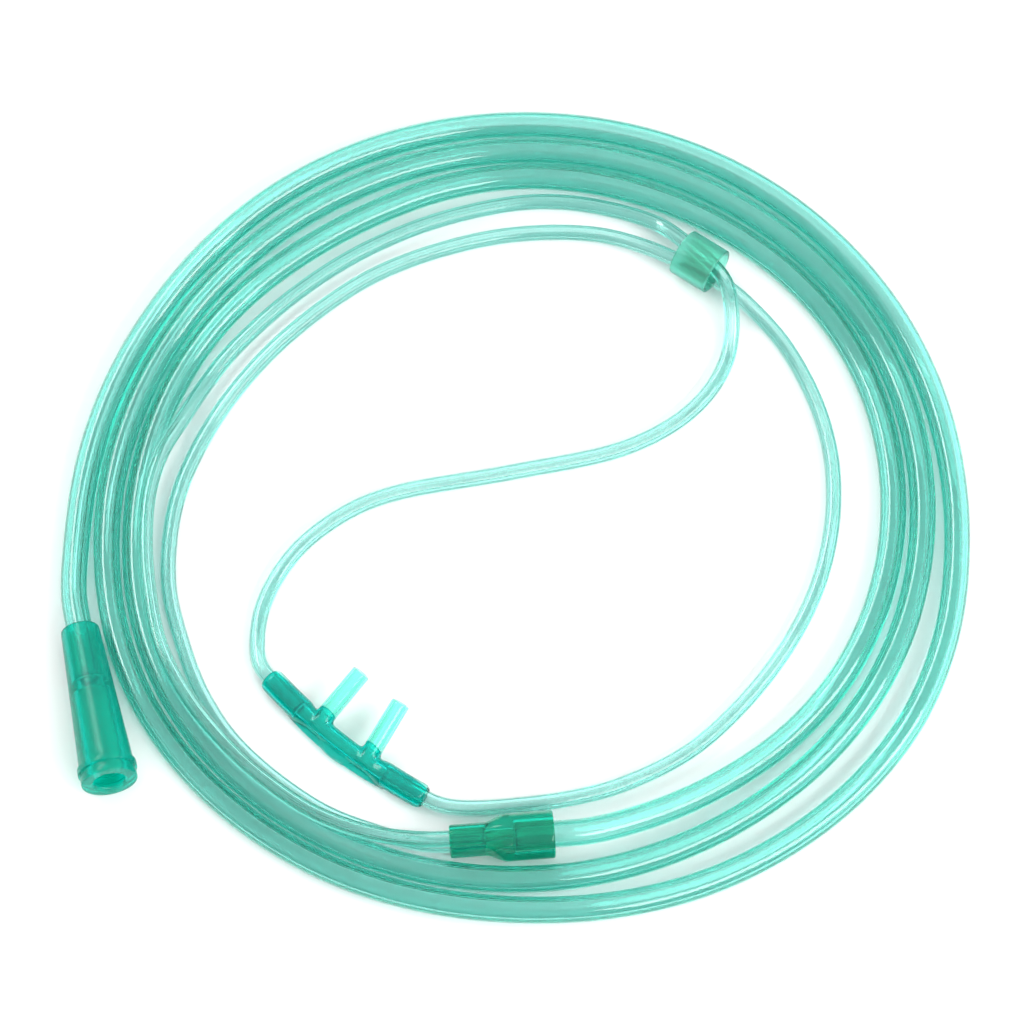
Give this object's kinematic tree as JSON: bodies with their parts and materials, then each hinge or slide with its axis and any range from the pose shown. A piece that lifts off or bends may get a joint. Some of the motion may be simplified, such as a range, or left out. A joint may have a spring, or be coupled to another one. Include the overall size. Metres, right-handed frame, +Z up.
{
  "type": "nasal oxygen cannula",
  "caption": "Coiled soft green oxygen tube with a flared connector, a junction to thin tubes, a sliding sleeve and a nose piece with prongs.",
  "frame": {"origin": "on the surface that it lies on, under the middle of the box round its four fittings", "axes": "+Z up out of the surface; +Y away from the nose piece, across the coil to its far side; +X to the right, from the connector's side to the nose loop's side"},
  "size_m": [0.2054, 0.2025, 0.0134],
  "materials": {
    "connector_pvc": "satin, translucent",
    "tube_pvc": "gloss, clear tinted",
    "junction_pvc": "gloss, translucent",
    "slider_pvc": "frosted, translucent",
    "nasal_pvc": "gloss, translucent"
  },
  "bodies": {
    "cannula": {"supply_connector": "connector_pvc", "supply_tube": "tube_pvc", "y_junction": "junction_pvc", "thin_tube_left": "tube_pvc", "thin_tube_right": "tube_pvc", "nasal_piece": "nasal_pvc"},
    "slider": {"slider": "slider_pvc"}
  },
  "joints": [
    {"name": "slider_slide", "type": "slide", "parent": "cannula", "child": "slider", "axis": [0.8221, -0.5693, 0], "range_m": [0, 0.003]}
  ]
}
